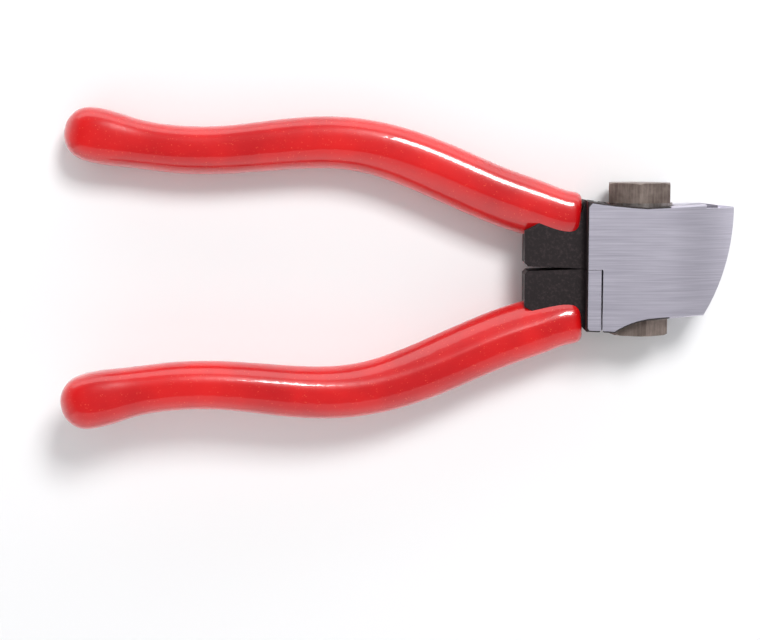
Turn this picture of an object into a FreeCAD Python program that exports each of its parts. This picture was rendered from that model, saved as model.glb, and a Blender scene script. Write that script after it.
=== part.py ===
"""Bolt-jointed end nipper with dipped handles, lying on the flat side of its head.

Each half is one forging: a handle core, a tang, one layer of the lap joint and one jaw.
The halves turn on a shoulder bolt. Millimetres. +X runs from the handles to the nose,
+Y runs along the pivot bolt towards its head, +Z is up. The origin lies on the rest face,
straight below the middle of the pivot bolt.
"""
import FreeCAD, Part
import math
import os

# ---------------------------------------------------------------- driving dimensions
# Head block
HEAD_HALF_THICKNESS = 9.3      # jaw parting plane to either flat side
HEAD_BACK_X = -13.6            # where the ground head meets the black tangs
FLAT_SIDE_FRONT_X = 4.0        # flat sides end here and curve in to the nose
NOSE_TIP_X = 23.5              # foremost point of the cutting lips
NOSE_HALF_THICKNESS = 0.7      # each lip's thickness at the tip
HEAD_TOP_Y = 15.2              # seat level of the bolt-head washer
HEAD_SHOULDER_RISE = 1.6       # raised back corner of the head, over the washer seat
HEAD_DIP_X = 1.0               # lowest point of the head's hollow top edge
HEAD_DIP_RISE = 0.05
SHOULDER_CURVE_X = -6.2        # the hollow edge passes through here
SHOULDER_CURVE_RISE = 0.62
NOSE_STEP_X = 15.8             # where the near jaw's top steps down to its lip
NOSE_STEP = 1.0
HEAD_CROWN = 0.8               # how far the top rises from the bolt to the nose step
LIP_DRAFT = 0.9                # how far the curved nose leans back at the flat sides
HEAD_EDGE_CHAMFER = 0.35       # broken edges round the flat sides
HEAD_BOTTOM_Y = -12.0          # seat level of the nut's washer
HEAD_HEEL_DROP = 3.5           # lowest corner at the back of the head, under the nut's seat
HEEL_CORNER_LIFT = 0.3         # how much higher the heel's back corner is
HEEL_FRONT_X = -6.6            # the heel runs flat to here, then curves up
HEEL_CURVE_X = -2.4
HEEL_CURVE_DROP = 1.35
BOTTOM_FRONT_X = 3.0           # the curve ends here
BOTTOM_FRONT_DROP = 0.15
NOSE_BOTTOM_X = 16.0           # lower end of the curved lip
NOSE_BOTTOM_LIFT = 0.7         # over the nut's seat
NOSE_BULGE_X = 21.4            # the curved lip passes through here
NOSE_BULGE_Y = 0.6

# Lap joint
HUB_RADIUS = 6.6               # boss round the bolt that the other jaw's wall passes
WALL_OUTER_RADIUS = 13.4       # outside of the jaw wall that wraps round the hub
OPENING_ANGLE = 26.0           # jaw opening the joint leaves room for
OPENING_SPARE = 2.0            # room beyond the opening
JOINT_CLEARANCE = 0.30         # between faces of the two halves that swing past
LAP_CLEARANCE = 0.06           # between the two bearing layers
JAW_GAP = 0.08                 # each jaw's face to the parting plane when closed
BOLT_FIT = 0.04                # radial running clearance on the shoulder

# Mouth behind the cutting lips
MOUTH_BACK_X = 11.2
MOUTH_FRONT_X = 19.6
MOUTH_HALF_WIDTH = 2.6
MOUTH_WIDEST_BACK = 0.8        # how far the widest point is behind the middle

# Pivot hardware
SHOULDER_RADIUS = 5.0
HEX_HEAD_FLATS = 15.0
HEX_HEAD_HEIGHT = 4.9
THREAD_RADIUS = 4.0
NUT_FLATS = 13.0
NUT_HEIGHT = 4.0
THREAD_STAND_OUT = 0.3
THREAD_CHAMFER = 0.3
HEX_HEAD_TURN = 6.0            # how far the hexes are turned from square
NUT_TURN = -10.0
HEX_END_SHARE = 0.535          # radius of a hex's flat end, as a share of its width
HEX_CHAMFER_ANGLE = 30.0
HEAD_WASHER_THICKNESS = 1.0
NUT_WASHER_THICKNESS = 0.5
WASHER_FIT = 0.02              # radial clearance of the washers on the shoulder
HEAD_WASHER_RIM = 0.7          # each washer's rim past the flats of its hex
NUT_WASHER_RIM = 1.1
SEAT_CLEARANCE = 0.5           # round each washer in its spot face
CORNER_CLEARANCE = 0.04        # round each hex's corners in its spot face
THRUST_CLEARANCE = 0.05        # end float of the joint

# Tangs
TANG_HALF_THICKNESS = 5.2
TANG_END_X = -28.6
TANG_END_Y = 9.4
TANG_GAP_END = 0.6             # half of the gap between the tangs at their ends
TANG_CORNER = 0.8
TANG_SLOPE_LENGTH = 8.0        # length and rise of each tang's sloped outer side
TANG_RISE = 4.4
TANG_FLARE = 1.2               # where each tang flares out to the head

# Handles: centre line of the upper handle, from the head to the end, its width there, and
# how much narrower its flat faces are than its middle on the side of the other handle
HANDLE_LINE = [
    (-14.9, 12.6, 12.4, 2.0),
    (-24.0, 14.2, 13.6, 3.6),
    (-35.0, 17.8, 14.2, 4.2),
    (-47.0, 22.9, 14.2, 4.0),
    (-58.0, 27.3, 13.8, 3.2),
    (-68.0, 30.0, 13.2, 2.4),
    (-79.0, 30.9, 12.9, 1.8),
    (-91.0, 30.1, 12.5, 1.5),
    (-103.0, 29.0, 12.0, 1.4),
    (-115.0, 29.1, 11.9, 1.2),
    (-126.0, 30.6, 12.4, 0.7),
    (-136.2, 32.8, 13.6, 0.0),
]
GRIP_DEPTH = 12.8              # grip thickness across the parting plane
GRIP_WALL = 1.9                # dipped coating over the handle core
GRIP_LIP = 2.6                 # length of the rounded rim at the head end
GRIP_LIP_FALL = 1.4            # how far the rim rounds in, less than the wall
LIP_SHARES = (0.0, 0.2, 0.55)  # where the rim's sections stand along it
DOME_SHARES = (0.45, 0.75, 0.93, 0.995)  # where the round end's sections stand
SECTION_POINTS = 24
SECTION_POWER = 2.9            # squareness of the handle section, 2 is an ellipse
UPPER_HANDLE_DROP = -2.0       # sideways offset of the upper handle's end, to the rest plane
LOWER_HANDLE_LIFT = 9.0        # sideways offset of the lower handle's end

# ---------------------------------------------------------------- helpers
X_AXIS = FreeCAD.Vector(1, 0, 0)
Y_AXIS = FreeCAD.Vector(0, 1, 0)
Z_AXIS = FreeCAD.Vector(0, 0, 1)
FAR = 80.0                     # longer than anything it cuts


def vec(x, y, z=0.0):
    return FreeCAD.Vector(x, y, z)


def cylinder_y(radius, y_low, y_high):
    """A cylinder on the pivot axis."""
    return Part.makeCylinder(radius, y_high - y_low, vec(0, y_low, 0), Y_AXIS)


def block(x_range, y_range, z_range):
    """A box between two x, two y and two z values."""
    size = [high - low for low, high in (x_range, y_range, z_range)]
    return Part.makeBox(*size, vec(x_range[0], y_range[0], z_range[0]))


def prism_z(edges, half_thickness):
    """A closed outline in the XY plane, made solid to both sides of the parting plane."""
    face = Part.Face(Part.Wire(Part.__sortEdges__(edges)))
    face.translate(vec(0, 0, -half_thickness))
    return face.extrude(vec(0, 0, 2 * half_thickness))


def prism_y(edges, y_low, y_high):
    """A closed outline in the XZ plane, made solid between two y values."""
    face = Part.Face(Part.Wire(Part.__sortEdges__(edges)))
    face.translate(vec(0, y_low, 0))
    return face.extrude(vec(0, y_high - y_low, 0))


def line(start, end):
    return Part.LineSegment(start, end).toShape()


def arc(start, middle, end):
    return Part.Arc(start, middle, end).toShape()


def hexagon(flats, y_low, y_high, turn_degrees):
    """A hexagonal prism on the pivot axis."""
    radius = flats / math.sqrt(3)
    points = []
    for corner in range(7):
        angle = math.radians(turn_degrees + 60 * corner + 90)
        points.append(vec(radius * math.cos(angle), y_low, radius * math.sin(angle)))
    face = Part.Face(Part.makePolygon(points))
    return face.extrude(vec(0, y_high - y_low, 0))


def chamfered_hexagon(flats, y_seat, y_end, turn_degrees):
    """A hexagon whose corners are turned to a cone at its free end, as on a bolt head or nut."""
    body = hexagon(flats, min(y_seat, y_end), max(y_seat, y_end), turn_degrees)
    corner_radius = flats / math.sqrt(3)
    flat_end_radius = HEX_END_SHARE * flats
    outside = corner_radius + 1.0
    slope = math.tan(math.radians(HEX_CHAMFER_ANGLE))
    drop = math.copysign((outside - flat_end_radius) * slope, y_end - y_seat)
    points = [
        vec(0, y_seat, 0),
        vec(outside, y_seat, 0),
        vec(outside, y_end - drop, 0),
        vec(flat_end_radius, y_end, 0),
        vec(0, y_end, 0),
        vec(0, y_seat, 0),
    ]
    cone = Part.Face(Part.makePolygon(points)).revolve(vec(0, 0, 0), Y_AXIS, 360)
    return body.common(cone)


def sector_y(start_degrees, end_degrees, y_low, y_high):
    """A wedge of space round the pivot axis; angles go from the nose towards +Z."""
    points = [vec(0, 0, 0)]
    steps = 8
    for step in range(steps + 1):
        angle = math.radians(start_degrees + (end_degrees - start_degrees) * step / steps)
        points.append(vec(FAR * math.cos(angle), 0, FAR * math.sin(angle)))
    points.append(points[0])
    face = Part.Face(Part.makePolygon(points))
    face.translate(vec(0, y_low, 0))
    return face.extrude(vec(0, y_high - y_low, 0))


def turned_over(shape):
    """The shape turned half a turn about X: upper and near become lower and far."""
    copy = shape.copy()
    copy.rotate(vec(0, 0, 0), X_AXIS, 180)
    return copy


# ---------------------------------------------------------------- head block
def head_side_outline(nose_back):
    """Outline of the closed head seen across the pivot, with its nose set back a little."""
    top_back = vec(HEAD_BACK_X, HEAD_TOP_Y + HEAD_SHOULDER_RISE)
    top_curve = vec(SHOULDER_CURVE_X, HEAD_TOP_Y + SHOULDER_CURVE_RISE)
    top_dip = vec(HEAD_DIP_X, HEAD_TOP_Y + HEAD_DIP_RISE)
    top_step = vec(NOSE_STEP_X, HEAD_TOP_Y + HEAD_CROWN)
    top_front = vec(NOSE_TIP_X - nose_back, HEAD_TOP_Y)
    nose_bulge = vec(NOSE_BULGE_X - nose_back, NOSE_BULGE_Y)
    nose_bottom = vec(NOSE_BOTTOM_X - nose_back, HEAD_BOTTOM_Y + NOSE_BOTTOM_LIFT)
    bottom_front = vec(BOTTOM_FRONT_X, HEAD_BOTTOM_Y - BOTTOM_FRONT_DROP)
    heel_curve = vec(HEEL_CURVE_X, HEAD_BOTTOM_Y - HEEL_CURVE_DROP)
    heel_front = vec(HEEL_FRONT_X, HEAD_BOTTOM_Y - HEAD_HEEL_DROP)
    heel_back = vec(HEAD_BACK_X, HEAD_BOTTOM_Y - HEAD_HEEL_DROP + HEEL_CORNER_LIFT)
    return Part.Wire([
        arc(top_back, top_curve, top_dip),
        line(top_dip, top_step),
        line(top_step, top_front),
        arc(top_front, nose_bulge, nose_bottom),
        line(nose_bottom, bottom_front),
        arc(bottom_front, heel_curve, heel_front),
        line(heel_front, heel_back),
        line(heel_back, top_back),
    ])


def head_plan_outline():
    """Outline of the closed head seen along the pivot: flat sides, then curved to the lips."""
    half = HEAD_HALF_THICKNESS
    tip = NOSE_HALF_THICKNESS
    run = NOSE_TIP_X - FLAT_SIDE_FRONT_X
    fall = half - tip
    radius = (run ** 2 + fall ** 2) / (2 * fall)
    angle = 0.5 * math.asin(run / radius)
    bulge_x = FLAT_SIDE_FRONT_X + radius * math.sin(angle)
    bulge_z = half - radius * (1 - math.cos(angle))
    near_back = vec(HEAD_BACK_X, 0, half)
    near_front = vec(FLAT_SIDE_FRONT_X, 0, half)
    near_tip = vec(NOSE_TIP_X, 0, tip)
    far_tip = vec(NOSE_TIP_X, 0, -tip)
    far_front = vec(FLAT_SIDE_FRONT_X, 0, -half)
    far_back = vec(HEAD_BACK_X, 0, -half)
    return [
        line(far_back, near_back),
        line(near_back, near_front),
        arc(near_front, vec(bulge_x, 0, bulge_z), near_tip),
        line(near_tip, far_tip),
        arc(far_tip, vec(bulge_x, 0, -bulge_z), far_front),
        line(far_front, far_back),
    ]


def head_block():
    """The closed head as one block, before it is divided between the halves."""
    sides = []
    for side in (1, -1):
        middle = head_side_outline(0.0)
        outside = head_side_outline(LIP_DRAFT)
        outside.translate(vec(0, 0, side * HEAD_HALF_THICKNESS))
        sides.append(Part.makeLoft([middle, outside], True, True))
    plan = prism_y(head_plan_outline(), -FAR, FAR)
    block_shape = sides[0].fuse(sides[1]).common(plan).removeSplitter()
    return block_shape.makeChamfer(HEAD_EDGE_CHAMFER, flat_side_rims(block_shape))


def flat_side_rims(block_shape):
    """The edges round the two flat sides, without the ones where the curve starts."""
    rims = []
    for edge in block_shape.Edges:
        box = edge.BoundBox
        flat = box.ZLength < 0.01 and abs(abs(box.ZMin) - HEAD_HALF_THICKNESS) < 0.01
        curve_start = box.XLength < 0.01 and abs(box.XMin - FLAT_SIDE_FRONT_X) < 0.01
        if flat and not curve_start:
            rims.append(edge)
    return rims


def mouth():
    """The hollow between the jaws behind the lips."""
    middle_x = 0.5 * (MOUTH_BACK_X + MOUTH_FRONT_X)
    back = vec(MOUTH_BACK_X, 0, 0)
    front = vec(MOUTH_FRONT_X, 0, 0)
    near = vec(middle_x - MOUTH_WIDEST_BACK, 0, MOUTH_HALF_WIDTH)
    far = vec(middle_x - MOUTH_WIDEST_BACK, 0, -MOUTH_HALF_WIDTH)
    return prism_y([arc(back, near, front), arc(front, far, back)], -FAR, FAR)


def wall_end_angle():
    """Where the wall's outside meets the head's flat side, from the nose direction."""
    return 180.0 - math.degrees(math.asin(HEAD_HALF_THICKNESS / WALL_OUTER_RADIUS))


def lower_layer_of_upper_half(grow):
    """Where the upper half's jaw reaches down past the lap, on the near side.

    The wall round the hub and the jaw ahead of it. A positive grow gives the room that
    the lower half must leave, over the whole opening.
    """
    y_range = (-FAR, LAP_CLEARANCE)
    outer = cylinder_y(WALL_OUTER_RADIUS + grow, *y_range)
    hub = cylinder_y(HUB_RADIUS + (0.0 if grow else JOINT_CLEARANCE), *y_range)
    near_half = block((-FAR, FAR), y_range, (0, FAR))
    ahead = block((0, FAR), y_range, (0, FAR))
    end_angle = wall_end_angle() + (OPENING_ANGLE + OPENING_SPARE if grow else 0.0)
    wedge = sector_y(0, end_angle, *y_range)
    wall = outer.common(near_half).common(wedge)
    return wall.fuse(ahead).cut(hub)


def half_head(block_shape):
    """The upper half's share of the head: upper layer, near jaw and near wall."""
    upper_space = block((-FAR, FAR), (LAP_CLEARANCE, FAR), (-FAR, FAR))
    taken_by_other = turned_over(lower_layer_of_upper_half(JOINT_CLEARANCE))
    upper = block_shape.common(upper_space).cut(taken_by_other)
    lower = block_shape.common(lower_layer_of_upper_half(0.0))
    whole = upper.fuse(lower)
    gap_side = block((0, FAR), (-FAR, FAR), (-FAR, JAW_GAP))
    hub_keep = cylinder_y(HUB_RADIUS, LAP_CLEARANCE, FAR)
    whole = whole.cut(gap_side.cut(hub_keep))
    return whole.cut(mouth())


def near_lip_step():
    """The step that leaves the near jaw's lip lower than the far jaw's."""
    lip_top = HEAD_TOP_Y + HEAD_CROWN - NOSE_STEP
    return block((NOSE_STEP_X, FAR), (lip_top, FAR), (0, FAR))


def washer_radius(flats, rim):
    """A washer's outside, a rim past the flats of the hex on it."""
    return flats / 2 + rim


def seat_radius(flats, rim):
    """A spot face's outside, clear of the washer and of the hex's corners."""
    corner = flats / math.sqrt(3)
    return max(washer_radius(flats, rim) + SEAT_CLEARANCE, corner + CORNER_CLEARANCE)


def spot_faces():
    """Flat seats for the two washers, as one cutting tool."""
    top = cylinder_y(seat_radius(HEX_HEAD_FLATS, HEAD_WASHER_RIM), HEAD_TOP_Y, FAR)
    bottom = cylinder_y(seat_radius(NUT_FLATS, NUT_WASHER_RIM), -FAR, HEAD_BOTTOM_Y)
    return top.fuse(bottom)


# ---------------------------------------------------------------- tangs and handles
def tang(side):
    """The black tang of one half; side is +1 for the upper half and -1 for the lower."""
    if side > 0:
        top_y = HEAD_TOP_Y + HEAD_SHOULDER_RISE
    else:
        top_y = -HEAD_BOTTOM_Y + HEAD_HEEL_DROP - HEEL_CORNER_LIFT
    points = [
        (HEAD_BACK_X, LAP_CLEARANCE),
        (TANG_END_X + TANG_CORNER, TANG_GAP_END),
        (TANG_END_X, TANG_GAP_END + TANG_CORNER),
        (TANG_END_X, TANG_END_Y),
        (TANG_END_X + TANG_SLOPE_LENGTH, TANG_END_Y + TANG_RISE),
        (HEAD_BACK_X - TANG_FLARE, TANG_END_Y + TANG_RISE),
        (HEAD_BACK_X, top_y),
    ]
    corners = [vec(x, side * y) for x, y in points]
    edges = [line(a, b) for a, b in zip(corners, corners[1:] + corners[:1])]
    return prism_z(edges, TANG_HALF_THICKNESS)


def handle_curve(side, end_offset):
    """The handle's centre line as a smooth curve through its chosen points."""
    first_x = HANDLE_LINE[0][0]
    last_x = HANDLE_LINE[-1][0]
    points = []
    for x, y, _width, _draft in HANDLE_LINE:
        along = (x - first_x) / (last_x - first_x)
        points.append(vec(x, side * y, end_offset * along))
    curve = Part.BSplineCurve()
    curve.interpolate(points)
    return curve


def unit_oval():
    """The points of a squarish oval that reaches 1 each way from its middle."""
    points = []
    for index in range(SECTION_POINTS):
        angle = 2 * math.pi * index / SECTION_POINTS
        cosine = math.cos(angle)
        sine = math.sin(angle)
        points.append((math.copysign(abs(cosine) ** (2 / SECTION_POWER), cosine),
                       math.copysign(abs(sine) ** (2 / SECTION_POWER), sine)))
    return points


def oval_parameters():
    """How far along the oval each point lies, from 0 to 1 where it closes.

    Every section uses the same ones, so a loft through them stays light and meshes
    cleanly.
    """
    points = unit_oval()
    reached = [0.0]
    for start, end in zip(points, points[1:] + points[:1]):
        reached.append(reached[-1] + math.dist(start, end))
    return [length / reached[-1] for length in reached]


def section(centre, tangent, width, depth, draft=0.0, side=1):
    """A closed squarish oval across the handle.

    Its inner side, towards the other handle, is fuller in the middle than at the flat
    faces: draft is the share of the half width that the flat faces lose there.
    """
    across = tangent.cross(Z_AXIS).normalize()
    upward = across.cross(tangent).normalize()
    inner_sign = math.copysign(1, -side * across.y)
    points = []
    for a, b in unit_oval():
        inward = max(0.0, a * inner_sign)
        a -= draft * inward * b ** 2 * inner_sign
        points.append(centre + across * (a * width / 2) + upward * (b * depth / 2))
    curve = Part.BSplineCurve()
    curve.interpolate(Points=points, Parameters=oval_parameters(), PeriodicFlag=True)
    return Part.Wire(curve.toShape())


def handle_loft(side, end_offset, inset, lip):
    """A handle solid: the grip's outside with inset 0, or the core inside it."""
    curve = handle_curve(side, end_offset)
    wires = []
    knots = curve.getKnots()
    for index, (_x, _y, width, narrower) in enumerate(HANDLE_LINE):
        parameter = knots[index]
        centre = curve.value(parameter)
        tangent = curve.tangent(parameter)[0]
        width_here = width - 2 * inset
        depth_here = GRIP_DEPTH - 2 * inset
        draft = 2 * narrower / width
        if index == len(HANDLE_LINE) - 1:
            depth_here = width_here
        if index == 0 and lip:
            for share in LIP_SHARES:
                fall = GRIP_LIP_FALL * (1 - math.sqrt(1 - (1 - share) ** 2))
                wires.append(section(centre + tangent * (GRIP_LIP * share), tangent,
                                     width_here - 2 * fall, depth_here - 2 * fall, draft, side))
            centre = centre + tangent * GRIP_LIP
        wires.append(section(centre, tangent, width_here, depth_here, draft, side))
    end_centre = curve.value(curve.LastParameter)
    end_tangent = curve.tangent(curve.LastParameter)[0]
    radius = HANDLE_LINE[-1][2] / 2 - inset
    for share in DOME_SHARES:
        rim = math.sqrt(1 - share ** 2)
        centre = end_centre + end_tangent * (radius * share)
        wires.append(section(centre, end_tangent, 2 * radius * rim, 2 * radius * rim))
    return Part.makeLoft(wires, True, False)


def half_lever(side, end_offset):
    """One half as a single forging, and the grip dipped over its handle."""
    head = head_block()
    if side > 0:
        share = half_head(head).cut(near_lip_step())
    else:
        share = turned_over(half_head(turned_over(head)))
    core = handle_loft(side, end_offset, GRIP_WALL, False)
    lever = share.fuse(tang(side)).fuse(core)
    lever = lever.cut(spot_faces())
    lever = lever.cut(cylinder_y(SHOULDER_RADIUS + BOLT_FIT, -FAR, FAR))
    grip = handle_loft(side, end_offset, 0.0, True).cut(lever)
    return lever, grip


# ---------------------------------------------------------------- pivot hardware
def pivot_bolt():
    """Shoulder bolt: hex head, ground shoulder, shorter threaded end."""
    seat_y = HEAD_TOP_Y + THRUST_CLEARANCE + HEAD_WASHER_THICKNESS
    shoulder_end = HEAD_BOTTOM_Y - THRUST_CLEARANCE - NUT_WASHER_THICKNESS
    thread_end = shoulder_end - NUT_HEIGHT - THREAD_STAND_OUT
    head = chamfered_hexagon(HEX_HEAD_FLATS, seat_y, seat_y + HEX_HEAD_HEIGHT, HEX_HEAD_TURN)
    shoulder = cylinder_y(SHOULDER_RADIUS, shoulder_end, seat_y)
    thread = cylinder_y(THREAD_RADIUS, thread_end, shoulder_end)
    end_edges = [e for e in thread.Edges if e.BoundBox.YMax < thread_end + 0.01]
    thread = thread.makeChamfer(THREAD_CHAMFER, end_edges)
    return head.fuse(shoulder).fuse(thread).removeSplitter()


def pivot_nut():
    """Hex nut on the bolt's threaded end."""
    seat_y = HEAD_BOTTOM_Y - THRUST_CLEARANCE - NUT_WASHER_THICKNESS
    body = chamfered_hexagon(NUT_FLATS, seat_y, seat_y - NUT_HEIGHT, NUT_TURN)
    return body.cut(cylinder_y(THREAD_RADIUS, -FAR, FAR))


def washer(outer_radius, thickness, y_low):
    """A flat ring on the shoulder, up from y_low."""
    ring = cylinder_y(outer_radius, y_low, y_low + thickness)
    return ring.cut(cylinder_y(SHOULDER_RADIUS + WASHER_FIT, -FAR, FAR))


# ---------------------------------------------------------------- assembly
def build():
    """Every node of the tool, in the row frame."""
    upper_lever, upper_grip = half_lever(1, UPPER_HANDLE_DROP)
    lower_lever, lower_grip = half_lever(-1, LOWER_HANDLE_LIFT)
    nodes = {
        "upper_lever": upper_lever,
        "upper_grip": upper_grip,
        "lower_lever": lower_lever,
        "lower_grip": lower_grip,
        "pivot_bolt": pivot_bolt(),
        "pivot_nut": pivot_nut(),
        "bolt_head_washer": washer(washer_radius(HEX_HEAD_FLATS, HEAD_WASHER_RIM),
                                   HEAD_WASHER_THICKNESS,
                                   HEAD_TOP_Y + THRUST_CLEARANCE),
        "nut_washer": washer(washer_radius(NUT_FLATS, NUT_WASHER_RIM), NUT_WASHER_THICKNESS,
                             HEAD_BOTTOM_Y - THRUST_CLEARANCE - NUT_WASHER_THICKNESS),
    }
    for shape in nodes.values():
        shape.translate(vec(0, 0, HEAD_HALF_THICKNESS))
    return nodes


def main():
    os.makedirs("parts", exist_ok=True)
    for name, shape in build().items():
        box = shape.BoundBox
        print(f"{name}: solids {len(shape.Solids)}, valid {shape.isValid()}, "
              f"volume {shape.Volume:.0f}, x {box.XMin:.1f}..{box.XMax:.1f}, "
              f"y {box.YMin:.1f}..{box.YMax:.1f}, z {box.ZMin:.2f}..{box.ZMax:.2f}")
        shape.exportStep(f"parts/{name}.step")


if __name__ == "__main__":
    main()
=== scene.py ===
"""End-cutting nipper with red dipped handles: grips, finishes, floor, lights and camera."""
import logging
import math
from dataclasses import dataclass
from enum import Enum
from typing import Any, Optional, Sequence, Union

import bpy
from mathutils import Matrix, Vector

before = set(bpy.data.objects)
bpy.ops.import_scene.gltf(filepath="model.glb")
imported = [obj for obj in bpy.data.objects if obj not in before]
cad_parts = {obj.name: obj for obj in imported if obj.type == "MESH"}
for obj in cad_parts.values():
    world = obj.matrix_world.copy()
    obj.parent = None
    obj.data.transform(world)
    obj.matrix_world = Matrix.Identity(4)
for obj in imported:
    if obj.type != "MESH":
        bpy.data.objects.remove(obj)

LOG = logging.getLogger("nipper")
MM = 0.001

# A Mix node has sockets of the same name for each kind of value, so they go by place.
MIX_SHARE_SOCKET = 0
MIX_FIRST_COLOUR_SOCKET = 6
MIX_SECOND_COLOUR_SOCKET = 7
MIX_COLOUR_OUTPUT = 2

# The display curve of sRGB, from display values to linear ones.
DISPLAY_WHITE = 255
STRAIGHT_END = 0.04045
STRAIGHT_SLOPE = 12.92
CURVE_OFFSET = 0.055
CURVE_POWER = 2.4

Colour = tuple[float, float, float, float]
Range = tuple[float, float]
Vector3 = tuple[float, float, float]
Input = Union["Signal", float, tuple, None]


# ---------------------------------------------------------------- shader building


class Maths(Enum):
    """The arithmetic between signals; the value is the Math node's operation."""

    ADD = "ADD"
    SUBTRACT = "SUBTRACT"
    MULTIPLY = "MULTIPLY"
    DIVIDE = "DIVIDE"
    ABSOLUTE = "ABSOLUTE"
    SMALLER = "MINIMUM"
    LARGER = "MAXIMUM"


class Axis(Enum):
    """A component of a vector; the value is its socket's name."""

    X = "X"
    Y = "Y"
    Z = "Z"


class Signal:
    """One output socket of a material, with arithmetic that adds Math nodes."""

    def __init__(self, graph: "ShaderGraph", socket: bpy.types.NodeSocket) -> None:
        """Wraps a socket.

        Args:
            graph: the material's graph that the socket is in.
            socket: the output socket that this signal reads.
        """
        self.graph = graph
        self.socket = socket

    def __add__(self, other: Input) -> "Signal":
        """Returns the sum."""
        return self.graph.maths(Maths.ADD, self, other)

    def __radd__(self, other: Input) -> "Signal":
        """Returns the sum, the number first."""
        return self.graph.maths(Maths.ADD, other, self)

    def __sub__(self, other: Input) -> "Signal":
        """Returns this less the other."""
        return self.graph.maths(Maths.SUBTRACT, self, other)

    def __rsub__(self, other: Input) -> "Signal":
        """Returns the number less this."""
        return self.graph.maths(Maths.SUBTRACT, other, self)

    def __mul__(self, other: Input) -> "Signal":
        """Returns the product."""
        return self.graph.maths(Maths.MULTIPLY, self, other)

    def __rmul__(self, other: Input) -> "Signal":
        """Returns the product, the number first."""
        return self.graph.maths(Maths.MULTIPLY, other, self)

    def __truediv__(self, other: Input) -> "Signal":
        """Returns this over the other."""
        return self.graph.maths(Maths.DIVIDE, self, other)

    def __rtruediv__(self, other: Input) -> "Signal":
        """Returns the number over this."""
        return self.graph.maths(Maths.DIVIDE, other, self)

    def __abs__(self) -> "Signal":
        """Returns this without its sign."""
        return self.graph.maths(Maths.ABSOLUTE, self)

    def ramp(self, low: float, high: float) -> "Signal":
        """Returns a smooth step from 0 at low to 1 at high; high may be under low."""
        return self.graph.node(
            "ShaderNodeMapRange",
            {"interpolation_type": "SMOOTHSTEP"},
            {"Value": self, "From Min": low, "From Max": high, "To Min": 0.0, "To Max": 1.0},
        )

    def both(self, other: Input) -> "Signal":
        """Returns the smaller of two values."""
        return self.graph.maths(Maths.SMALLER, self, other)

    def either(self, other: Input) -> "Signal":
        """Returns the larger of two values."""
        return self.graph.maths(Maths.LARGER, self, other)


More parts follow.
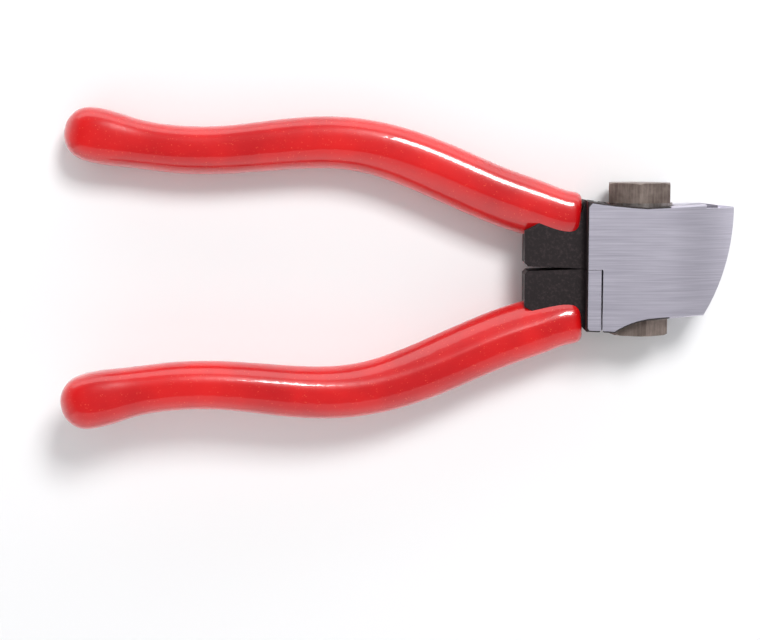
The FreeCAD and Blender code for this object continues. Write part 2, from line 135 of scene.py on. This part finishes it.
class ShaderGraph:
    """The node graph of one material, built from Python expressions."""

    def __init__(self, name: str) -> None:
        """Starts an empty material.

        Args:
            name: the material's name.
        """
        self.material = bpy.data.materials.new(name)
        self.material.use_nodes = True
        self.tree = self.material.node_tree
        self.tree.nodes.clear()
        self.shader = self.tree.nodes.new("ShaderNodeBsdfPrincipled")
        output = self.tree.nodes.new("ShaderNodeOutputMaterial")
        self.tree.links.new(self.shader.outputs["BSDF"], output.inputs["Surface"])

    def plug(self, socket: bpy.types.NodeSocket, value: Input) -> None:
        """Gives a socket a link or a constant.

        Args:
            socket: the input socket.
            value: a signal to link, or a constant to set.
        """
        if isinstance(value, Signal):
            self.tree.links.new(value.socket, socket)
        elif value is not None:
            socket.default_value = value

    def node(
        self,
        kind: str,
        settings: Optional[dict[str, Any]] = None,
        inputs: Optional[dict[Union[int, str], Input]] = None,
        output: Union[int, str] = 0,
    ) -> Signal:
        """Adds one node.

        Args:
            kind: the node's type.
            settings: the node's own properties, set first.
            inputs: constants or signals, by socket name or place.
            output: which output the signal reads.

        Returns:
            The chosen output as a signal.
        """
        made = self.tree.nodes.new(kind)
        for key, value in (settings or {}).items():
            setattr(made, key, value)
        for key, value in (inputs or {}).items():
            self.plug(made.inputs[key], value)
        return Signal(self, made.outputs[output])

    def maths(self, operation: Maths, *values: Input) -> Signal:
        """Adds a Math node.

        Args:
            operation: what it does.
            values: its signals or numbers, in order.

        Returns:
            The node's result.
        """
        return self.node(
            "ShaderNodeMath", {"operation": operation.value}, dict(enumerate(values))
        )

    def place(self) -> Signal:
        """Returns the point on the surface in the object's own frame, in metres."""
        return self.node("ShaderNodeTexCoord", output="Object")

    def facing(self) -> Signal:
        """Returns the surface's direction in the object's own frame."""
        return self.node("ShaderNodeTexCoord", output="Normal")

    def part(self, vector: Signal, axis: Axis) -> Signal:
        """Returns one component of a vector."""
        return self.node("ShaderNodeSeparateXYZ", None, {0: vector}, axis.value)

    def stretched(self, vector: Signal, scale: tuple[float, float, float]) -> Signal:
        """Returns a vector with each component multiplied."""
        return self.node(
            "ShaderNodeVectorMath", {"operation": "MULTIPLY"}, {0: vector, 1: scale}
        )

    def noise(
        self, vector: Signal, scale: float, detail: float = 2.0, roughness: float = 0.5
    ) -> Signal:
        """Adds a noise texture.

        Args:
            vector: where the noise is read.
            scale: waves for each unit of the vector.
            detail: how many finer layers it has.
            roughness: how strong the finer layers are.

        Returns:
            The noise, from 0 to 1.
        """
        return self.node(
            "ShaderNodeTexNoise",
            {"noise_dimensions": "3D"},
            {"Vector": vector, "Scale": scale, "Detail": detail, "Roughness": roughness},
        )

    def mix(self, share: Input, first: Input, second: Input) -> Signal:
        """Mixes two colours.

        Args:
            share: 0 gives the first colour, and 1 the second.
            first: a colour or a signal.
            second: a colour or a signal.

        Returns:
            The mixed colour.
        """
        return self.node(
            "ShaderNodeMix",
            {"data_type": "RGBA"},
            {
                MIX_SHARE_SOCKET: share,
                MIX_FIRST_COLOUR_SOCKET: first,
                MIX_SECOND_COLOUR_SOCKET: second,
            },
            MIX_COLOUR_OUTPUT,
        )

    def bump(self, height: Signal, strength: float, depth: float) -> Signal:
        """Turns a height into a surface direction.

        Args:
            height: the height, from 0 to 1.
            strength: how much of it shows.
            depth: what a height of 1 is, in metres.

        Returns:
            The bumped direction.
        """
        return self.node(
            "ShaderNodeBump", None, {"Strength": strength, "Distance": depth, "Height": height}
        )

    def finish(self, **sockets: Input) -> bpy.types.Material:
        """Sets the shader's sockets, given by name with _ for each space.

        Args:
            sockets: constants or signals for the Principled shader.

        Returns:
            The finished material.
        """
        for key, value in sockets.items():
            self.plug(self.shader.inputs[key.replace("_", " ")], value)
        return self.material


def shade(red: float, green: float, blue: float) -> Colour:
    """Turns a display colour into the shader's linear one.

    Args:
        red: from 0 to 255.
        green: from 0 to 255.
        blue: from 0 to 255.

    Returns:
        The linear colour, opaque.
    """
    def linear(value: float) -> float:
        """Returns one component's linear value."""
        share = value / DISPLAY_WHITE
        if share <= STRAIGHT_END:
            return share / STRAIGHT_SLOPE
        return ((share + CURVE_OFFSET) / (1 + CURVE_OFFSET)) ** CURVE_POWER

    return (linear(red), linear(green), linear(blue), 1.0)


# ---------------------------------------------------------------- finishes


@dataclass(frozen=True)
class DippedVinyl:
    """Glossy red plastisol, thicker and darker in places, with fine painted glints: tiny
    bright specks in its colour.
    """

    red: Colour = shade(222, 12, 12)
    deep_red: Colour = shade(190, 5, 14)
    # Painted highlight: the colour of the painted glint specks.
    painted_glint: Colour = shade(250, 110, 80)
    cloud_waves: float = 60.0
    cloud_detail: float = 3.0
    cloud_range: Range = (0.3, 0.75)
    glint_cell_waves: float = 1700.0
    glint_cell_range: Range = (0.28, 0.1)
    glint_patch_waves: float = 900.0
    glint_patch_range: Range = (0.45, 0.7)
    glint_strength: float = 0.7
    peel_waves: float = 260.0
    peel_roughness: float = 0.4
    peel_strength: float = 0.3
    peel_depth: float = 0.06 * MM
    roughness: float = 0.28
    roughness_spread: float = 0.08
    index_of_refraction: float = 1.52
    coat: float = 0.9
    coat_roughness: float = 0.035

    def make(self) -> bpy.types.Material:
        """Returns the vinyl's material."""
        graph = ShaderGraph("dipped_vinyl_red")
        place = graph.place()
        cloud = graph.noise(place, self.cloud_waves, self.cloud_detail)
        body = graph.mix(cloud.ramp(*self.cloud_range), self.deep_red, self.red)
        # Painted highlight: tiny bright specks mixed into the base colour stand in for glints
        # on the gloss.
        glint_cells = graph.node(
            "ShaderNodeTexVoronoi",
            {"feature": "F1"},
            {"Vector": place, "Scale": self.glint_cell_waves, "Randomness": 1.0},
        )
        glint_patches = graph.noise(place, self.glint_patch_waves, 1.0)
        painted_glint_share = glint_cells.ramp(*self.glint_cell_range) * glint_patches.ramp(*self.glint_patch_range)
        height = graph.noise(place, self.peel_waves, 1.0, self.peel_roughness)
        return graph.finish(
            Base_Color=graph.mix(painted_glint_share * self.glint_strength, body, self.painted_glint),
            Roughness=self.roughness + self.roughness_spread * cloud,
            IOR=self.index_of_refraction,
            Coat_Weight=self.coat,
            Coat_Roughness=self.coat_roughness,
            Normal=graph.bump(height, self.peel_strength, self.peel_depth),
        )


@dataclass(frozen=True)
class GroundArea:
    """Where the wheel has ground the forging bright, measured on the head."""

    back: float = -13.3 * MM
    top_corner: float = 14.6 * MM
    bottom_corner: float = -13.6 * MM
    corner_reach: float = 2.2 * MM
    corner_setback: float = 1.8 * MM
    waver_waves: float = 500.0
    waver: float = 0.3 * MM
    soft_edge: float = 0.15 * MM
    flat_range: Range = (0.75, 0.95)
    bright_side_back: float = 6.5 * MM
    bright_side_blend: float = 0.5 * MM

    def mask(self, graph: ShaderGraph, place: Signal, facing: Signal) -> Signal:
        """Finds the ground area.

        Args:
            graph: the material's graph.
            place: the point on the surface.
            facing: the surface's direction.

        Returns:
            1 on ground steel, 0 on black scale.
        """
        high = graph.part(place, Axis.Y)
        over = ((high - self.top_corner) / self.corner_reach).either(0.0)
        under = ((self.bottom_corner - high) / self.corner_reach).either(0.0)
        corner = over.either(under)
        waver = graph.noise(place, self.waver_waves) * self.waver
        forward = graph.part(place, Axis.X)
        along = forward + waver - corner * corner * self.corner_setback
        head = along.ramp(self.back - self.soft_edge, self.back + self.soft_edge)
        flat = abs(graph.part(facing, Axis.Z)).ramp(*self.flat_range)
        nose = forward.ramp(
            self.bright_side_back, self.bright_side_back + self.bright_side_blend
        )
        return head.both(flat.either(nose))


@dataclass(frozen=True)
class GrindMarks:
    """The level lines that the wheel leaves, and finer scratches among them."""

    flat_range: Range = (0.3, 0.6)
    line_stretch: Vector3 = (30.0, 1500.0, 0.0)
    line_waves: float = 1.6
    line_detail: float = 4.0
    line_roughness: float = 0.6
    line_share: float = 0.65
    scratch_stretch: Vector3 = (55.0, 3800.0, 0.0)
    scratch_waves: float = 1.3
    scratch_share: float = 0.35

    def height(self, graph: ShaderGraph, place: Signal, facing: Signal) -> Signal:
        """Makes the marks, which run along the head on its flat sides and round its nose.

        Args:
            graph: the material's graph.
            place: the point on the surface.
            facing: the surface's direction.

        Returns:
            The marks' height, from 0 to 1.
        """
        flat = abs(graph.part(facing, Axis.Z)).ramp(*self.flat_range)
        across = graph.part(place, Axis.Y) * flat + graph.part(place, Axis.Z) * (1.0 - flat)
        wheel = graph.node(
            "ShaderNodeCombineXYZ", None, {"X": graph.part(place, Axis.X), "Y": across}
        )
        lines = graph.noise(
            graph.stretched(wheel, self.line_stretch),
            self.line_waves, self.line_detail, self.line_roughness,
        )
        scratches = graph.noise(
            graph.stretched(wheel, self.scratch_stretch), self.scratch_waves
        )
        return lines * self.line_share + scratches * self.scratch_share


@dataclass(frozen=True)
class LeverSteel:
    """Forged steel, black where the handles start and ground bright on the head."""

    ground: Colour = shade(208, 204, 216)
    ground_dark: Colour = shade(180, 176, 190)
    black: Colour = shade(28, 19, 21)
    black_light: Colour = shade(54, 42, 44)
    area: GroundArea = GroundArea()
    marks: GrindMarks = GrindMarks()
    grind_range: Range = (0.3, 0.7)
    cloud_waves: float = 110.0
    cloud_detail: float = 3.0
    cloud_range: Range = (0.35, 0.8)
    cloud_strength: float = 0.25
    scale_waves: float = 1400.0
    scale_detail: float = 4.0
    scale_roughness: float = 0.65
    scale_range: Range = (0.45, 0.75)
    scale_height: float = 0.8
    black_metallic: float = 0.25
    ground_extra_metallic: float = 0.45
    ground_gloss: Range = (0.34, 0.16)
    black_gloss: Range = (0.42, 0.2)
    bump_strength: float = 0.35
    bump_depth: float = 0.04 * MM

    def make(self) -> bpy.types.Material:
        """Returns the levers' material."""
        graph = ShaderGraph("ground_and_black_steel")
        place = graph.place()
        facing = graph.facing()
        mask = self.area.mask(graph, place, facing)
        scaled = 1.0 - mask
        grind = self.marks.height(graph, place, facing)
        cloud = graph.noise(place, self.cloud_waves, self.cloud_detail)
        bright = graph.mix(grind.ramp(*self.grind_range), self.ground_dark, self.ground)
        dulled = cloud.ramp(*self.cloud_range) * self.cloud_strength
        bright = graph.mix(dulled, bright, self.ground_dark)
        scale = graph.noise(place, self.scale_waves, self.scale_detail, self.scale_roughness)
        dark = graph.mix(scale.ramp(*self.scale_range), self.black, self.black_light)
        ground_base, ground_spread = self.ground_gloss
        black_base, black_spread = self.black_gloss
        height = grind * mask + scale * scaled * self.scale_height
        return graph.finish(
            Base_Color=graph.mix(mask, dark, bright),
            Metallic=self.black_metallic + self.ground_extra_metallic * mask,
            Roughness=mask * (ground_base + grind * ground_spread)
            + scaled * (black_base + scale * black_spread),
            Normal=graph.bump(height, self.bump_strength, self.bump_depth),
        )


@dataclass(frozen=True)
class TurnedSteel:
    """Dull brown-grey steel of a forged bolt and nut."""

    name: str = "oiled_fastener_steel"
    light: Colour = shade(166, 151, 142)
    dark: Colour = shade(118, 103, 96)
    roughness: float = 0.36
    metallic: float = 0.7
    roughness_spread: float = 0.18
    stain_waves: float = 260.0
    stain_detail: float = 4.0
    grain_roughness: float = 0.6
    drawn_stretch: Vector3 = (1600.0, 160.0, 1600.0)
    drawn_detail: float = 3.0
    pit_waves: float = 2400.0
    pit_detail: float = 3.0
    worn_range: Range = (0.35, 0.7)
    stain_share: float = 0.6
    drawn_share: float = 0.4
    height_share: float = 0.5
    bump_strength: float = 0.4
    bump_depth: float = 0.05 * MM

    def make(self) -> bpy.types.Material:
        """Returns the fastener's material."""
        graph = ShaderGraph(self.name)
        place = graph.place()
        stain = graph.noise(place, self.stain_waves, self.stain_detail, self.grain_roughness)
        drawn = graph.noise(
            graph.stretched(place, self.drawn_stretch),
            1.0, self.drawn_detail, self.grain_roughness,
        )
        pits = graph.noise(place, self.pit_waves, self.pit_detail, self.grain_roughness)
        worn = (
            stain.ramp(*self.worn_range) * self.stain_share
            + drawn.ramp(*self.worn_range) * self.drawn_share
        )
        height = drawn * self.height_share + pits * self.height_share
        return graph.finish(
            Base_Color=graph.mix(worn, self.dark, self.light),
            Metallic=self.metallic,
            Roughness=self.roughness + self.roughness_spread * stain,
            Normal=graph.bump(height, self.bump_strength, self.bump_depth),
        )


@dataclass(frozen=True)
class PaleFloor:
    """Matt white sheet that the tool lies on."""

    white: Colour = shade(247, 247, 247)
    off_white: Colour = shade(243, 243, 244)
    waves: float = 3.0
    roughness: float = 0.85

    def make(self) -> bpy.types.Material:
        """Returns the floor's material."""
        graph = ShaderGraph("pale_floor")
        tone = graph.noise(graph.place(), self.waves)
        return graph.finish(
            Base_Color=graph.mix(tone, self.off_white, self.white),
            Roughness=self.roughness,
        )


def dress(names: Sequence[str], material: bpy.types.Material) -> None:
    """Gives CAD nodes a finish.

    Args:
        names: the nodes' names.
        material: the material that fills each of their material slots.
    """
    for name in names:
        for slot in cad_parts[name].material_slots:
            slot.material = material
        LOG.info("dressed %s in %s", name, material.name)


# ---------------------------------------------------------------- the tool


@dataclass
class Levers:
    """The two forgings."""

    nodes: tuple[str, ...] = ("upper_lever", "lower_lever")
    steel: LeverSteel = LeverSteel()

    def build(self) -> None:
        """Dresses both levers."""
        dress(self.nodes, self.steel.make())


@dataclass
class PivotHardware:
    """The bolt, its nut and the two washers."""

    hexagons: tuple[str, ...] = ("pivot_bolt", "pivot_nut")
    washers: tuple[str, ...] = ("bolt_head_washer", "nut_washer")
    steel: TurnedSteel = TurnedSteel()
    washer_steel: TurnedSteel = TurnedSteel(
        name="washer_steel_bright",
        light=shade(176, 168, 164),
        dark=shade(128, 118, 112),
        roughness=0.3,
        metallic=0.95,
    )

    def build(self) -> None:
        """Dresses the fasteners."""
        dress(self.hexagons, self.steel.make())
        dress(self.washers, self.washer_steel.make())


@dataclass
class DippedGrips:
    """The vinyl on both handles."""

    nodes: tuple[str, ...] = ("upper_grip", "lower_grip")
    vinyl: DippedVinyl = DippedVinyl()

    def build(self) -> None:
        """Dresses the grips."""
        dress(self.nodes, self.vinyl.make())


# ---------------------------------------------------------------- the studio


@dataclass(frozen=True)
class SoftBox:
    """One rectangular studio light, which the camera doesn't see."""

    name: str
    place: Vector3
    aim: Vector3
    width: float
    height: float
    brightness: float
    in_reflections: bool = True

    def build(self) -> None:
        """Makes the light, with its power worked out from its brightness and its size."""
        data = bpy.data.lights.new(self.name, "AREA")
        data.shape = "RECTANGLE"
        data.size = self.width
        data.size_y = self.height
        data.energy = self.brightness * math.pi * self.width * self.height
        light = bpy.data.objects.new(self.name, data)
        bpy.context.scene.collection.objects.link(light)
        light.location = self.place
        towards = Vector(self.aim) - Vector(self.place)
        light.rotation_euler = towards.to_track_quat("-Z", "Y").to_euler()
        light.visible_camera = False
        light.visible_glossy = self.in_reflections


TOOL_MIDDLE: Vector3 = (-0.05, 0.0, 0.01)
SOFT_BOXES = (
    SoftBox("overhead", (-0.05, 0.35, 1.5), TOOL_MIDDLE, 1.8, 1.8, 0.75, False),
    SoftBox("key", (0.2, 0.55, 0.85), TOOL_MIDDLE, 0.3, 0.3, 25.0),
    SoftBox("back_wall", (-0.05, 0.9, 0.25), (-0.05, 0.0, 0.25), 2.4, 0.5, 1.3),
    SoftBox("front_wall", (-0.05, -0.6, 0.7), (-0.05, 0.0, 0.7), 2.4, 1.4, 0.6),
)


@dataclass(frozen=True)
class Floor:
    """The sheet under the tool."""

    size: float = 60.0
    drop: float = 0.05 * MM
    sheet: PaleFloor = PaleFloor()

    def build(self) -> None:
        """Lays the floor just under the tool."""
        half = self.size / 2
        corners = [(-half, -half, 0), (half, -half, 0), (half, half, 0), (-half, half, 0)]
        mesh = bpy.data.meshes.new("floor")
        mesh.from_pydata(corners, [], [(0, 1, 2, 3)])
        floor = bpy.data.objects.new("floor", mesh)
        bpy.context.scene.collection.objects.link(floor)
        floor.location.z = -self.drop
        mesh.materials.append(self.sheet.make())


@dataclass(frozen=True)
class Room:
    """Faint light from all round: pale walls and a dimmer ceiling."""

    wall_top: float = 0.3
    wall_light: Colour = (0.5, 0.505, 0.515, 1.0)
    ceiling_start: float = 0.75
    ceiling_light: Colour = (0.1, 0.102, 0.11, 1.0)

    def build(self) -> None:
        """Makes the world, whose colour depends on the height that a ray goes to."""
        world = bpy.data.worlds.new("room")
        bpy.context.scene.world = world
        world.use_nodes = True
        tree = world.node_tree
        direction = tree.nodes.new("ShaderNodeTexCoord")
        height = tree.nodes.new("ShaderNodeSeparateXYZ")
        ramp = tree.nodes.new("ShaderNodeValToRGB")
        tree.links.new(direction.outputs["Generated"], height.inputs["Vector"])
        tree.links.new(height.outputs["Z"], ramp.inputs["Fac"])
        tree.links.new(ramp.outputs["Color"], tree.nodes["Background"].inputs["Color"])
        wall, ceiling = ramp.color_ramp.elements
        wall.position, wall.color = self.wall_top, self.wall_light
        ceiling.position, ceiling.color = self.ceiling_start, self.ceiling_light


@dataclass(frozen=True)
class Camera:
    """The camera, which looks down on the tool's flat side."""

    place: Vector3 = (-0.0614, 0.0340, 0.5068)
    aim: Vector3 = (-0.0643, -0.0133, 0.0093)
    up: Vector3 = (0.0, 1.0, 0.0)
    roll_degrees: float = 0.14
    focal_share: float = 1999.0 / 760.0
    sensor: float = 36.0

    def build(self) -> None:
        """Places the camera. Its focal length is a share of the sensor's width."""
        data = bpy.data.cameras.new("camera")
        data.sensor_width = self.sensor
        data.lens = self.focal_share * self.sensor
        camera = bpy.data.objects.new("camera", data)
        bpy.context.scene.collection.objects.link(camera)
        away = (Vector(self.place) - Vector(self.aim)).normalized()
        right = Vector(self.up).cross(away).normalized()
        turn = Matrix((right, away.cross(right), away)).transposed().to_4x4()
        roll = Matrix.Rotation(math.radians(self.roll_degrees), 4, "Z")
        camera.matrix_world = Matrix.Translation(self.place) @ turn @ roll
        bpy.context.scene.camera = camera


@dataclass
class Studio:
    """Floor, lights, room and camera."""

    floor: Floor = Floor()
    soft_boxes: tuple[SoftBox, ...] = SOFT_BOXES
    room: Room = Room()
    camera: Camera = Camera()
    view_transform: str = "Standard"

    def build(self) -> None:
        """Builds the whole studio."""
        bpy.context.scene.view_settings.view_transform = self.view_transform
        self.floor.build()
        for box in self.soft_boxes:
            box.build()
        self.room.build()
        self.camera.build()


def main() -> None:
    """Builds everything in order."""
    logging.basicConfig(level=logging.INFO, format="%(name)s: %(message)s")
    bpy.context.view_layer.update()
    Levers().build()
    PivotHardware().build()
    DippedGrips().build()
    Studio().build()


if __name__ == "__main__":
    main()
